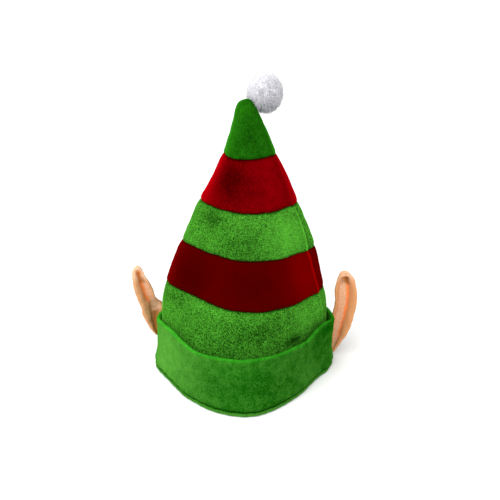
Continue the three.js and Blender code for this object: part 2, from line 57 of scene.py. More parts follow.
MM = 0.001
WELD = 0.001 * MM  # points of a solid nearer than this are one
HARD_EDGE = math.radians(50)  # an edge of a solid that bends more than this is hard
DIVISIONS = 3  # how often the faces of a cloth are divided
FLOOR_RADIUS = 40.0  # metres, so that its edge is far off

# Cloth rings of the crown from the tip down: how strong the painted highlight is on the ridge of a
# side seam, the pieces they are sewn to, finish, the cut before sewing (width, length) and its
# area in square metres
CROWN_CLOTH = [
    {"node": "tip_panel", "ridge": 0.5, "sewn_to": ["upper_red_stripe"], "finish": "tip_velour",
     "slot": "dark_green_velour", "flat": (0.163, 0.056), "area": 0.0052},
    {"node": "upper_red_stripe", "ridge": 0.4, "sewn_to": ["tip_panel", "middle_green_stripe"],
     "finish": "red_velour", "slot": "red_velour", "flat": (0.285, 0.051), "area": 0.0114},
    {"node": "middle_green_stripe", "ridge": 0.4,
     "sewn_to": ["upper_red_stripe", "lower_red_stripe"], "finish": "green_velour",
     "slot": "green_velour", "flat": (0.37, 0.047), "area": 0.0154},
    {"node": "lower_red_stripe", "ridge": 3.0,
     "sewn_to": ["middle_green_stripe", "base_green_panel"], "finish": "dark_red_velour",
     "slot": "dark_red_velour", "flat": (0.445, 0.045), "area": 0.0183},
    {"node": "base_green_panel", "ridge": 0.3, "sewn_to": ["lower_red_stripe", "hem_roll"],
     "finish": "green_velour", "slot": "green_velour", "flat": (0.54, 0.087), "area": 0.0435},
]
# Ears: how full of wadding, how much painted shade lies in the low end of the hollow, how much
# more pale loose nap is laid on as painted light, and how much deeper the creases are drawn in
EARS = [
    {"node": "ear_right", "fill": 0.65, "shade": 0.6, "nap": 0.0, "tighten": 0.8},
    {"node": "ear_left", "fill": 0.65, "shade": 1.3, "nap": 0.25, "tighten": 0.1},
]
# Side seams of the crown, from its front panel to its back panel: direction in degrees (0 is the
# right side, 90 the back, -90 the front), and on which side of it the back panel lies
SIDE_SEAMS = [
    {"angle": -15, "behind": 1},
    {"angle": 172, "behind": -1},
]
# Form of a side seam: each part's distance behind the seam's line and its half width, and how much
# painted shade lies in the groove. The light part is a painted highlight by the ridge.
SEAM_RIDGE = {"behind": 0.0, "half": 1.6 * MM}
SEAM_GROOVE = {"behind": 3.6 * MM, "half": 1.5 * MM, "dark": 0.45}
SEAM_LIGHT = {"behind": -0.4 * MM, "half": 1.4 * MM}
# Painted light and shade, with some lay of the brushed nap: places where the pile is lighter
# (light > 0) or darker, in degrees and millimetres: direction and height, and how far each place
# goes to the side and up
LIGHT_AND_NAP_MARKS = {
    "tip_panel": [
        {"angle": -98, "height": 240, "light": -0.3, "turn": 36, "tall": 22},
        # painted highlights on the left edge and on the right side of the tip
        {"angle": 178, "height": 240, "light": 0.5, "turn": 30, "tall": 40},
        {"angle": 0, "height": 235, "light": 0.7, "turn": 16, "tall": 40},
    ],
    "upper_red_stripe": [
        {"angle": -122, "height": 206, "light": -0.5, "turn": 34, "tall": 20},
        {"angle": -45, "height": 200, "light": 0.2, "turn": 22, "tall": 30},
        # painted highlights on the left edge and along the right side seam
        {"angle": 180, "height": 198, "light": 1.0, "turn": 22, "tall": 40},
        {"angle": 2, "height": 200, "light": 1.2, "turn": 13, "tall": 50},
        {"angle": 80, "height": 195, "light": -0.3, "turn": 40, "tall": 12},
    ],
    "middle_green_stripe": [
        {"angle": -142, "height": 168, "light": -0.4, "turn": 18, "tall": 8},
        {"angle": -40, "height": 155, "light": 0.45, "turn": 22, "tall": 20},
        {"angle": -96, "height": 144, "light": -0.35, "turn": 24, "tall": 20},
        {"angle": -150, "height": 150, "light": -0.15, "turn": 20, "tall": 20},
        {"angle": 60, "height": 150, "light": 0.25, "turn": 26, "tall": 14},
    ],
    "lower_red_stripe": [
        {"angle": -26, "height": 108, "light": 1.3, "turn": 22, "tall": 45},
        {"angle": -150, "height": 112, "light": -0.5, "turn": 22, "tall": 25},
        {"angle": -90, "height": 108, "light": -0.35, "turn": 30, "tall": 25},
        # painted highlight on the left edge
        {"angle": 178, "height": 112, "light": 1.6, "turn": 10, "tall": 40},
        {"angle": 130, "height": 108, "light": 0.5, "turn": 24, "tall": 18},
    ],
    "base_green_panel": [
        {"angle": -36, "height": 72, "light": 0.25, "turn": 14, "tall": 14},
        {"angle": -95, "height": 60, "light": -0.35, "turn": 42, "tall": 24},
        {"angle": -80, "height": 74, "light": -0.25, "turn": 14, "tall": 8},
        {"angle": -160, "height": 84, "light": -0.25, "turn": 14, "tall": 8},
        # painted shadow in the gap where the cuff stands off the crown
        {"angle": -50, "height": 55, "light": -0.9, "turn": 9, "tall": 3},
        {"angle": 70, "height": 74, "light": -0.3, "turn": 30, "tall": 10},
    ],
    "cuff": [
        # painted light on the cuff's left side, which faces the key light
        {"angle": -158, "height": 28, "light": 0.6, "turn": 28, "tall": 40},
        {"angle": -122, "height": 30, "light": 0.1, "turn": 18, "tall": 22},
        {"angle": -84, "height": 24, "light": -0.4, "turn": 34, "tall": 30},
        {"angle": -20, "height": 36, "light": -0.35, "turn": 28, "tall": 34},
        {"angle": -42, "height": 20, "light": 0.15, "turn": 10, "tall": 14},
        {"angle": -14, "height": 52, "light": -0.25, "turn": 12, "tall": 10},
        {"angle": 60, "height": 30, "light": 0.35, "turn": 24, "tall": 30},
    ],
    "hem_roll": [
        {"angle": -90, "height": 2, "light": 0.3, "turn": 170, "tall": 8},
    ],
}

# How the waves of the cloth are drawn out: a small number makes them long in that direction
FOLD_STRETCH = np.array([1, 1, 0.7])
GATHER_STRETCH = np.array([1, 1, 0.25])  # gathers run up and down from a seam
WANDER_STRETCH = np.array([1, 1, 0.3])
WAVE_LENGTHS = (0.75, 1.4)  # shortest and longest wave, as shares of the usual one
WANDER_HEIGHTS = (8 * MM, 40 * MM)  # seams are level below these and stray fully above them
AXIS_ROOM = (2 * MM, 10 * MM)  # distances from the middle within which folds fade out
# Painted shade in seams: how much the pile is darkened there
SEAM_DARK = 1.3  # how much darker the pile lies in a seam

# Painted light on the cuff's folded edge, where its cloth faces up
FOLD = {
    "heights": (30 * MM, 40 * MM),  # it lies above these
    "facing": (0.0, 0.75),  # how far up its cloth faces, from none of its colour to the most
    "colour": 0.75,  # how much of its colour shows at most
}
# The cuff's flat lower end, which is taken out
CUFF_END = {
    "depth": 0.6 * MM,
    "facing": -0.8,  # its faces point down more than this
}

EAR_FACE = 0.75 * MM  # width of the even faces that the ears are made of
EAR_ROUNDING = 5  # rounds of smoothing that take the steps off them
EAR_TIGHTEN = (-0.6 * MM, 0.4 * MM)  # how far the cloth is drawn in and swells at most
EAR_LUMPS = {"height": 0.12 * MM, "length": 10 * MM}
# Where an ear's creases throw warm light
CREASE = {
    "rounds": 5,  # of smoothing, which show how far a point lies below those around it
    "depths": (0.05 * MM, 0.085 * MM),  # from no light to full
    "spread": 6,  # rounds of smoothing that spread the light
    "gain": 1.7,
    "starts": (97 * MM, 103 * MM),  # from the middle of the hat
}
# Where the ear's pale loose nap shows, with painted light added in wide dips and on the tip
LOOSE_NAP = {
    "least": 0.2,
    "dips": 0.7,  # more of it in wide dips
    "rounds": 20,  # of smoothing, which show the dips
    "depths": (-0.04 * MM, 0.06 * MM),
    "tip": 0.6,  # more of it on the tip
    "heights": (84 * MM, 94 * MM),
}
# Painted shade in the hollow of an ear
HOLLOW = {
    "beside": ["cuff", "base_green_panel"],  # what shades it, with the ear itself
    "reach": 16 * MM,  # how far off cloth still shades a point
    "rays": 20,  # directions in which it is looked for
    "clear": 0.3 * MM,  # how far off the ear the look starts
    "middle": 0.3,
    "high": 0.8,  # how much darker the high end is
    "low_heights": (54 * MM, 42 * MM),
    "high_heights": (76 * MM, 86 * MM),
}

# Pompom: shares of its radius, unless in millimetres
FIBRE_SIDES = 3
CORE_SHARE = 0.88  # radius of its dense middle
ROOT_SHARE = 0.8  # where fibres start
CORE_LUMPS = {"height": 0.02, "length": 6 * MM}
FLUFF_LUMPS = {"height": 0.02, "length": 10 * MM}
CLOTH_GAP = {"core": 0.3 * MM, "fibre": 0.2 * MM}  # kept to the cloth of the tip
# How far the fibres reach
REACH = {
    "usual": 0.98, "least": 0.88, "most": 1.16,
    "stray": 0.035,  # how much further single fibres go
    "sag": 0.03,
}
# Locks of fibres
LOCKS = {
    "length": 0.03,  # how much they differ in length
    "lean": 0.06,  # how much they differ in direction
    "gather": (0.3, 0.8),  # how far their fibres are drawn together
    "scatter": 0.02,  # how far a fibre strays from its place
    "width": (0.6, 1.1),  # thickness of a fibre against the usual one
}
# Painted light and shade on the fluff, with locks of random tone, from 0 (dark) to 1
FLUFF_LIGHT = {
    "locks": (0.85, 1.25),
    "lumps": 3,  # how much more on what stands out
    "below": 0.9,  # how much less on the underside
    "below_from": (0.1, 0.95),  # how far down the underside faces
    "root": 0.9,  # the root's share of a fibre's light
    "core": 0.75,
    "core_below": 0.65,  # how much less below the dense middle
}

# Velours: the pile's colour, how strong its speckle and its crushed patches are, and the colour
# and weight of the sheen on the tips of its fibres
VELOURS = {
    "tip_velour": {
        "pile": "tip", "speckle": 0.6, "crushed": 0.2, "sheen": "#58D030", "weight": 0.8},
    "red_velour": {
        "pile": "red", "speckle": 0.45, "crushed": 0.12, "sheen": "#FF0000", "weight": 1.0},
    "dark_red_velour": {
        "pile": "dark_red", "speckle": 0.15, "crushed": 0.1, "sheen": "#E00000", "weight": 0.4},
    "green_velour": {
        "pile": "green", "speckle": 0.95, "crushed": 0.15, "sheen": "#84E850", "weight": 1.0},
    "cuff_velour": {
        "pile": "cuff", "speckle": 0.5, "crushed": 0.25, "sheen": "#48D020", "weight": 0.4},
    "hem_velour": {
        "pile": "cuff", "speckle": 0.5, "crushed": 0.15, "sheen": "#48D020", "weight": 0.4},
}
UNEVEN = 0.1  # how much the pile's shade drifts over wide stretches
WIDE_PATCH = 5  # width of such a stretch, in crushed patches
CRUSH_RELIEF = 1.6 * MM  # how deep a crushed patch looks
NAP_RELIEF = 0.22 * MM  # how deep the gaps between tufts look
# Painted shade in seams goes down to this
SUNK_SHADE = 0.1  # the darkest pile, as a share of the dark colour
# painted light on the folded edge follows the pile's shade
FOLD_SHADES = (0.5, 1.4)  # darkest and lightest pile on the folded edge, as shares of its colour
# Plush of the ears: width of its nap and its blotches, how uneven they make the hollow's edge, how
# deep the nap looks, and the sheen's colour
PLUSH = {"nap": 0.8 * MM, "blotch": 7 * MM, "uneven": 0.3, "relief": 0.5 * MM,
         "sheen": "#FFE4D0"}
COLOUR_A, COLOUR_B, COLOUR_OUT = 6, 7, 2  # sockets of a Mix node that mixes colours


def linear(colour):
    """Linear RGB of an sRGB hex colour."""
    shares = [int(colour[i:i + 2], 16) / 255 for i in (1, 3, 5)]
    return tuple(s / 12.92 if s <= 0.04045 else ((s + 0.055) / 1.055) ** 2.4 for s in shares)


def length(name, description, default):
    """A size that a user can change, in metres."""
    return FloatProperty(name=name, description=description, default=default, min=0.0,
                         unit="LENGTH", precision=5)


def colour(name, description, default):
    """A colour that a user can change, from its hex value."""
    return FloatVectorProperty(name=name, description=description, default=linear(default),
                               size=3, min=0.0, max=1.0, subtype="COLOR")


class ElfHatCloth(bpy.types.PropertyGroup):
    """Sizes of the velour's pile and of the folds in the cloth."""

    nap: length("Nap", "Width of one tuft of pile, drawn coarse", 0.7 * MM)
    speck: length("Speck", "Width of a clump of pile that catches the light", 0.6 * MM)
    crush: length("Crushed patch", "Width of a patch of pile that lies the other way", 9 * MM)
    fold_length: length("Fold length", "From one soft fold to the next", 38 * MM)
    fold_height: length("Fold height", "How far a soft fold stands out", 0.4 * MM)
    ripple_length: length("Ripple length", "From one small ripple to the next", 11 * MM)
    ripple_height: length("Ripple height", "How far a small ripple stands out", 0.12 * MM)
    pucker_length: length("Pucker length", "From one gathered fold at a seam to the next", 7 * MM)
    pucker_height: length("Pucker height", "How far a gathered fold stands out", 0.2 * MM)
    pucker_reach: length("Pucker reach", "How far from the seam the gathers go", 7 * MM)
    seam_wander: length("Seam wander", "How far a seam strays from level", 0.4 * MM)
    # painted shade beside each seam
    seam_reach: length("Seam shade", "How far from a seam the pile lies dark", 0.8 * MM)
    side_ridge: length("Side seam ridge", "How far a side seam stands out", 0.6 * MM)
    side_groove: length("Side seam groove", "How deep the cloth sinks beside it", 1.3 * MM)
    cuff_layer: length("Cuff layer", "Thickness of one of the cuff's two layers", 1.5 * MM)
    seed: IntProperty(name="Seed", description="Choice of folds", default=4, min=0)


class ElfHatColours(bpy.types.PropertyGroup):
    """Colours of the cloths, each where the pile is open and where it lies dark. Painted light and
    shade, with the pile's speckle, move each cloth between the two.
    """

    green: colour("Green", "Green velour, open pile", "#4C9E2C")
    green_deep: colour("Green deep", "Green velour, dark pile", "#123E06")
    tip: colour("Tip green", "Velour of the tip, open pile", "#226E0C")
    tip_deep: colour("Tip green deep", "Velour of the tip, dark pile", "#0A3603")
    cuff: colour("Cuff green", "Velour of the cuff, open pile", "#46862C")
    cuff_deep: colour("Cuff green deep", "Velour of the cuff, dark pile", "#044A00")
    red: colour("Red", "Velour of the upper red stripe, open pile", "#860006")
    red_deep: colour("Red deep", "Velour of the upper red stripe, dark pile", "#340000")
    dark_red: colour("Dark red", "Velour of the lower red stripe, open pile", "#560000")
    dark_red_deep: colour("Dark red deep", "Velour of the lower red stripe, dark pile", "#380000")
    # painted light on the top of the cuff's fold
    fold: colour("Fold", "Velour on the cuff's folded edge", "#2A8E18")
    peach: colour("Peach", "Plush of the ears where it is open", "#CD8852")
    # its pale colour also stands in for painted light in dips and on the tips
    nap: colour("Nap", "Loose ends of the plush of the ears", "#F0C8A8")
    # crease is painted warm bounce light, and hollow is painted shade
    crease: colour("Crease", "Plush of the ears in a crease", "#F48C4E")
    hollow: colour("Hollow", "Plush of the ears deep in the hollow", "#A66A32")
    fluff: colour("Fluff", "Tips of the pompom's fibres", "#F8F7FC")
    # the grey that painted shade on the underside, the middle and the roots darkens the fluff to
    fluff_deep: colour("Fluff deep", "Roots of the pompom's fibres", "#A8ACB2")
    floor: colour("Floor", "Floor and surroundings", "#F4F4F4")


class ElfHatPompom(bpy.types.PropertyGroup):
    """Fibres of the pompom."""

    fibres: IntProperty(name="Fibres", description="Number of fibres", default=30000, min=0)
    locks: IntProperty(name="Locks", description="Number of locks", default=3000, min=1)
    width: length("Fibre width", "Thickness of a fibre at its root", 0.5 * MM)
    seed: IntProperty(name="Seed", description="Choice of fibres", default=11, min=0)


class ElfHatStage(bpy.types.PropertyGroup):
    """Camera and light."""

    camera_place: FloatVectorProperty(
        name="Camera", description="Where the camera stands", default=(0.006, -0.65, 0.372),
        size=3, subtype="TRANSLATION", unit="LENGTH")
    camera_tilt: FloatProperty(
        name="Tilt", description="How far the camera looks down",
        default=math.radians(20.78), subtype="ANGLE", unit="ROTATION")
    lens: FloatProperty(name="Lens", description="Focal length in millimetres", default=50.0)
    key: FloatProperty(name="Key light", description="Strength of the key light", default=2.7)
    key_turn: FloatProperty(
        name="Key from", description="Direction of the key light, left of the camera",
        default=math.radians(35), subtype="ANGLE", unit="ROTATION")
    key_height: FloatProperty(
        name="Key height", description="Height of the key light above the floor",
        default=math.radians(52), subtype="ANGLE", unit="ROTATION")
    key_spread: FloatProperty(
        name="Key spread", description="How wide the key light looks from the hat",
        default=math.radians(60), subtype="ANGLE", unit="ROTATION")
    fill: FloatProperty(name="Fill light", description="Strength of the light all round",
                        default=0.95)


# Numbers and meshes


def unit(vectors):
    """Vectors of length one in the same directions."""
    return vectors / np.maximum(np.linalg.norm(vectors, axis=-1, keepdims=True), 1e-9)


def outward(points):
    """Level direction from the crown's axis to each point."""
    return unit(points * [1, 1, 0])


def soft_step(low, high, values):
    """From 0 where the values are at low to 1 where they are at high, with soft ends."""
    share = np.clip((values - low) / (high - low), 0, 1)
    return share * share * (3 - 2 * share)


def bell(distance, spread):
    """One at no distance, about a third at the spread and next to nothing at twice that."""
    return np.exp(-(distance / spread) ** 2)


def new_piece(name, mesh):
    """An object for a mesh, in place of any earlier one of that name."""
    old = bpy.data.objects.get(name)
    if old is not None:
        bpy.data.objects.remove(old)
    piece = bpy.data.objects.new(name, mesh)
    bpy.context.scene.collection.objects.link(piece)
    return piece


def points_of(mesh):
    points = np.empty(len(mesh.vertices) * 3)
    mesh.vertices.foreach_get("co", points)
    return points.reshape(-1, 3)


def normals_of(mesh):
    normals = np.empty(len(mesh.vertices) * 3)
    mesh.vertex_normals.foreach_get("vector", normals)
    return normals.reshape(-1, 3)


def set_points(mesh, points):
    mesh.vertices.foreach_set("co", points.ravel())
    mesh.update()


def paint(mesh, name, values):
    """Keeps one number for each point, which a material reads."""
    layer = mesh.attributes.get(name) or mesh.attributes.new(name, "FLOAT", "POINT")
    layer.data.foreach_set("value", np.asarray(values, np.float32))


def tree_of(mesh):
    return BVHTree.FromPolygons([v.co for v in mesh.vertices],
                                [tuple(p.vertices) for p in mesh.polygons])


def ring_of_neighbours(mesh):
    """The ends of all edges, the points across from them, and how many edges each point has."""
    edges = np.empty(len(mesh.edges) * 2, int)
    mesh.edges.foreach_get("vertices", edges)
    edges = edges.reshape(-1, 2)
    ends, others = np.vstack([edges, edges[:, ::-1]]).T
    return ends, others, np.bincount(ends, minlength=len(mesh.vertices))


def rounded(mesh, points, rounds):
    """Each point moved halfway to the middle of its neighbours, several times."""
    ends, others, counts = ring_of_neighbours(mesh)
    for _ in range(rounds):
        middle = np.stack([np.bincount(ends, row[others], len(points)) for row in points.T], 1)
        points = (points + middle / counts[:, None]) / 2
    return points


def apply_modifiers(piece):
    """Gives the piece the mesh that its modifiers make, in place of the modifiers."""
    graph = bpy.context.evaluated_depsgraph_get()
    mesh = bpy.data.meshes.new_from_object(piece.evaluated_get(graph))
    piece.modifiers.clear()
    piece.data = mesh
    mesh.shade_smooth()


def even_copy(node, name, face):
    """A new piece with a CAD node's form, in even faces of that width."""
    piece = new_piece(name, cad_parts[node].data.copy())
    remesh = piece.modifiers.new("remesh", "REMESH")
    remesh.mode = "VOXEL"
    remesh.voxel_size = face
    apply_modifiers(piece)
    return piece


def smooth_copy(node, name, hold):
    """A new piece with a CAD node's form, finely divided. Hold is how crisp hard edges stay."""
    form = bmesh.new()
    form.from_mesh(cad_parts[node].data)
    bmesh.ops.remove_doubles(form, verts=form.verts, dist=WELD)
    bmesh.ops.join_triangles(form, faces=form.faces, angle_face_threshold=math.pi,
                             angle_shape_threshold=math.pi)
    crease = form.edges.layers.float.new("crease_edge")
    for edge in form.edges:
        if edge.is_manifold and edge.calc_face_angle() > HARD_EDGE:
            edge[crease] = hold
    mesh = bpy.data.meshes.new(name)
    form.to_mesh(mesh)
    form.free()
    mesh.materials.clear()
    piece = new_piece(name, mesh)
    divide = piece.modifiers.new("divide", "SUBSURF")
    divide.levels = divide.render_levels = DIVISIONS
    apply_modifiers(piece)
    return piece


def drop_loose(mesh):
    """Takes out vertices without faces."""
    form = bmesh.new()
    form.from_mesh(mesh)
    loose = [v for v in form.verts if not v.link_faces]
    bmesh.ops.delete(form, geom=loose, context="VERTS")
    form.to_mesh(mesh)
    form.free()


def finish_piece(piece, node, material):
    """Gives a piece its material, and puts it in the place of a CAD node."""
    piece.data.materials.clear()
    piece.data.materials.append(material)
    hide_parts(node)
    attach(piece, "root")


# Cloth


def waves(points, wave_length, seed, count=30):
    """A smooth random height at each point, about zero and mostly within one."""
    random = np.random.default_rng(seed)
    directions = unit(random.normal(size=(count, 3)))
    lengths = wave_length * random.uniform(*WAVE_LENGTHS, count)
    starts = random.uniform(0, 2 * math.pi, count)
    total = np.zeros(len(points))
    for direction, one, start in zip(directions, lengths, starts):
        total += np.cos(points @ direction * (2 * math.pi / one) + start)
    return total / math.sqrt(count / 2)


def seam_distance(points, sewn_to):
    """How far each point is from the pieces sewn to this one."""
    nearest = np.full(len(points), np.inf)
    for node in sewn_to:
        tree = tree_of(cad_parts[node].data)
        found = [tree.find_nearest(p)[3] for p in map(Vector, points)]
        nearest = np.minimum(nearest, found)
    return nearest


def lie_of_cloth(points, cloth, distance=None):
    """Where the soft folds move each point. All pieces share them, so that seams stay closed."""
    folds = cloth.fold_height * waves(points * FOLD_STRETCH, cloth.fold_length, cloth.seed)
    ripples = cloth.ripple_height * waves(points, cloth.ripple_length, cloth.seed + 1)
    push = folds + ripples
    if distance is not None:
        gathers = waves(points * GATHER_STRETCH, cloth.pucker_length, cloth.seed + 2)
        push = push + cloth.pucker_height * gathers * bell(distance, cloth.pucker_reach)
    wander = waves(points * WANDER_STRETCH, cloth.fold_length, cloth.seed + 3)
    lift = cloth.seam_wander * wander * soft_step(*WANDER_HEIGHTS, points[:, 2])
    room = soft_step(*AXIS_ROOM, np.hypot(points[:, 0], points[:, 1]))
    return outward(points) * (push * room)[:, None] + lift[:, None] * [0, 0, 1]


def turn_of(points):
    """Direction of each point from the crown's leaning axis, in degrees, and its distance."""
    boxes = [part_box(ring["node"]) for ring in reversed(CROWN_CLOTH)]
    heights = [(low.z + high.z) / 2 for low, high in boxes]
    middles = [(low.x + high.x) / 2 for low, high in boxes]
    across = points[:, 0] - np.interp(points[:, 2], heights, middles)
    return np.degrees(np.arctan2(points[:, 1], across)), np.hypot(across, points[:, 1])


def turn_from(angles, angle):
    """How far each direction is from one angle, in degrees, less than 0 on one side of it."""
    return (angles - angle + 180) % 360 - 180


def light_and_nap_marks(points, marks):
    """How much painted light or shade, with the lay of the nap, lies on the pile at each point."""
    angles, _ = turn_of(points)
    total = np.zeros(len(points))
    for mark in marks:
        side = bell(turn_from(angles, mark["angle"]), mark["turn"])
        total += mark["light"] * side * bell(points[:, 2] - mark["height"] * MM, mark["tall"] * MM)
    return total


def side_seams(points, cloth):
    """How far the side seams move each point out, how much painted shade lies in each seam's
    groove, and how much painted highlight lies on each seam's ridge."""
    angles, radii = turn_of(points)
    push, near, lit = (np.zeros(len(points)) for _ in range(3))
    for seam in SIDE_SEAMS:
        arc = np.radians(turn_from(angles, seam["angle"])) * radii * seam["behind"]
        ridge, groove, light = (bell(arc - part["behind"], part["half"])
                                for part in (SEAM_RIDGE, SEAM_GROOVE, SEAM_LIGHT))
        push += cloth.side_ridge * ridge - cloth.side_groove * groove
        near = np.maximum(near, SEAM_GROOVE["dark"] * groove)
        lit = np.maximum(lit, light)
    return push, near, lit


def shape_cloth(piece, sewn_to, cloth, marks=(), ridge=None):
    """Folds, ripples, gathers and side seams, with how near each point is to a seam, which paints
    shade there, and the painted light and shade of the marks and of the side seams' ridges."""
    points = points_of(piece.data)
    distance = seam_distance(points, sewn_to)
    # painted shade beside each seam
    near = np.exp(-distance / cloth.seam_reach)
    moved = points + lie_of_cloth(points, cloth, distance)
    # painted light and shade of the marks, with the lay of the nap
    brushed = light_and_nap_marks(points, marks)
    if ridge is not None:
        push, line, lit = side_seams(points, cloth)
        moved += outward(points) * push[:, None]
        near = np.maximum(near, line)
        # painted highlight on the ridge of a side seam
        brushed += ridge * lit
    paint(piece.data, "seam", near)
    paint(piece.data, "brushed", brushed)
    set_points(piece.data, moved)


def open_below(piece):
    """Takes out the cuff's flat lower end, so that it is one layer of cloth folded over."""
    form = bmesh.new()
    form.from_mesh(piece.data)
    top = min(v.co.z for v in form.verts) + CUFF_END["depth"]
    below = [f for f in form.faces
             if f.normal.z < CUFF_END["facing"] and f.calc_center_median().z < top]
    bmesh.ops.delete(form, geom=below, context="FACES")
    form.to_mesh(piece.data)
    form.free()


# Ears


def dip(mesh, points, normals, rounds):
    """How far each point lies below those around it. More rounds take in a wider stretch."""
    return np.sum((rounded(mesh, points, rounds) - points) * normals, axis=1)


def shape_ear(piece, cloth, nap, tighten):
    """Rounds the ear off and draws its creases tighter, and keeps where a crease throws warm light
    and where pale loose nap shows, which carries painted light in dips, on the tip and over a
    whole ear."""
    mesh = piece.data
    points = rounded(mesh, points_of(mesh), EAR_ROUNDING)
    set_points(mesh, points)
    normals = normals_of(mesh)
    warm = soft_step(*CREASE["depths"], dip(mesh, points, normals, CREASE["rounds"]))
    warm = CREASE["gain"] * rounded(mesh, warm[:, None], CREASE["spread"])[:, 0]
    side = soft_step(*CREASE["starts"], np.abs(points[:, 0]))
    paint(mesh, "crease", np.clip(warm, 0, 1) * side)
    sunk = dip(mesh, points, normals, LOOSE_NAP["rounds"])
    dips = LOOSE_NAP["dips"] * soft_step(*LOOSE_NAP["depths"], sunk)
    tip = LOOSE_NAP["tip"] * soft_step(*LOOSE_NAP["heights"], points[:, 2])
    # pale loose nap, with painted light in dips, on the tip and by the ear's own amount
    paint(mesh, "loose", nap + LOOSE_NAP["least"] + dips + tip)
    push = np.clip(-tighten * sunk, *EAR_TIGHTEN)
    push += EAR_LUMPS["height"] * waves(points, EAR_LUMPS["length"], cloth.seed + 7)
    set_points(mesh, points + lie_of_cloth(points, cloth) + normals * push[:, None])


def hollowness(piece, seed):
    """The share of directions in which each point of an ear meets cloth near by."""
    trees = [tree_of(piece.data)] + [tree_of(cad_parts[n].data) for n in HOLLOW["beside"]]
    random = np.random.default_rng(seed)
    directions = unit(random.normal(size=(HOLLOW["rays"], 3)))
    points, normals = points_of(piece.data), normals_of(piece.data)
    shares = np.zeros(len(points))
    for i, (point, normal) in enumerate(zip(points, normals)):
        start = Vector(point + normal * HOLLOW["clear"])
        facing = directions * np.sign(directions @ normal)[:, None]
        hits = 0
        for direction in facing:
            line = Vector(direction)
            hits += any(tree.ray_cast(start, line, HOLLOW["reach"])[0] is not None
                        for tree in trees)
        shares[i] = hits / HOLLOW["rays"]
    return shares


def hollow_shade(piece, cloth, low_shade):
    """How much painted shade lies on each point of an ear: more in the hollow, above all at its
    two ends.
    """
    heights = points_of(piece.data)[:, 2]
    low = soft_step(*HOLLOW["low_heights"], heights)
    high = soft_step(*HOLLOW["high_heights"], heights)
    ends = (low_shade - HOLLOW["middle"]) * low + HOLLOW["high"] * high
    return hollowness(piece, cloth.seed) * (HOLLOW["middle"] + ends)


# Pompom


def even_directions(count):
    """Directions spread evenly over a ball by the golden angle."""
    step = np.arange(count)
    up = 1 - (2 * step + 1) / count
    turn = step * math.pi * (3 - math.sqrt(5))
    across = np.sqrt(1 - up * up)
    return np.stack([across * np.cos(turn), across * np.sin(turn), up], axis=1)


def underside(directions):
    """How much each direction of a ball lies in the shade below."""
    return soft_step(*FLUFF_LIGHT["below_from"], -directions[:, 2])


def dense_middle(radius, settings):
    """Points and faces of the pompom's uneven middle, and how much light each point gets."""
    ball = bmesh.new()
    bmesh.ops.create_icosphere(ball, subdivisions=4, radius=radius * CORE_SHARE)
    mesh = bpy.data.meshes.new("core")
    ball.to_mesh(mesh)
    ball.free()
    points = points_of(mesh)
    faces = [tuple(p.vertices) for p in mesh.polygons]
    bpy.data.meshes.remove(mesh)
    # painted shade on the underside of the dense middle
    light = FLUFF_LIGHT["core"] - FLUFF_LIGHT["core_below"] * underside(unit(points))
    lumps = CORE_LUMPS["height"] * waves(points, CORE_LUMPS["length"], settings.seed)
    return points * (1 + lumps[:, None]), faces, light


def fluff_fibres(radius, settings):
    """Points and triangles of thin closed spikes gathered in locks, and how much light each
    point gets."""
    random = np.random.default_rng(settings.seed)
    count = settings.fibres
    locks = even_directions(settings.locks)
    scatter = LOCKS["scatter"]
    facing = unit(even_directions(count) + random.normal(scale=scatter, size=(count, 3)))
    lock = np.argmax(facing @ locks.T, axis=1)
    lean = random.normal(scale=LOCKS["lean"], size=(len(locks), 3))
    longer = random.normal(0, LOCKS["length"], len(locks))
    aim = unit(facing + (locks[lock] - facing) * random.uniform(*LOCKS["gather"], (count, 1))
               + lean[lock] + random.normal(scale=scatter, size=(count, 3)))
    waviness = waves(facing * radius, FLUFF_LUMPS["length"], settings.seed + 1)
    lumps = longer[lock] + FLUFF_LUMPS["height"] * waviness
    stray = random.exponential(REACH["stray"], count)
    reach = (REACH["usual"] + lumps + stray).clip(REACH["least"], REACH["most"])[:, None]
    sag = np.array([0, 0, -1]) * radius * random.uniform(0, REACH["sag"], (count, 1))
    side = unit(np.cross(facing, random.normal(size=(count, 3))))
    other = np.cross(facing, side)
    width = settings.width * random.uniform(*LOCKS["width"], (count, 1))
    corners = []
    for k in range(FIBRE_SIDES):
        turn = 2 * math.pi * k / FIBRE_SIDES
        spoke = side * math.cos(turn) + other * math.sin(turn)
        corners.append(facing * radius * ROOT_SHARE + spoke * width / 2)
    points = np.stack([*corners, aim * radius * reach + sag], axis=1)
    pattern = np.array([(0, 2, 1), (0, 1, 3), (1, 2, 3), (2, 0, 3)])
    starts = np.arange(count)[:, None, None] * (FIBRE_SIDES + 1)
    triangles = (pattern[None] + starts).reshape(-1, 3)
    light = random.uniform(*FLUFF_LIGHT["locks"], len(locks))[lock]
    # painted light on lumps and painted shade on the underside
    light += FLUFF_LIGHT["lumps"] * lumps - FLUFF_LIGHT["below"] * underside(facing)
    along = [FLUFF_LIGHT["root"]] * FIBRE_SIDES + [1]
    return points.reshape(-1, 3), triangles, np.outer(np.clip(light, 0, 1), along).ravel()


def kept_outside(points, tree, gap):
    """Points inside a closed form, or nearer to it than the gap, are moved out to the gap."""
    moved = points.copy()
    for i, point in enumerate(points):
        place, normal, _, distance = tree.find_nearest(Vector(point))
        inside = (Vector(point) - place).dot(normal) < 0
        if inside or distance < gap:
            moved[i] = place + normal * gap
    return moved


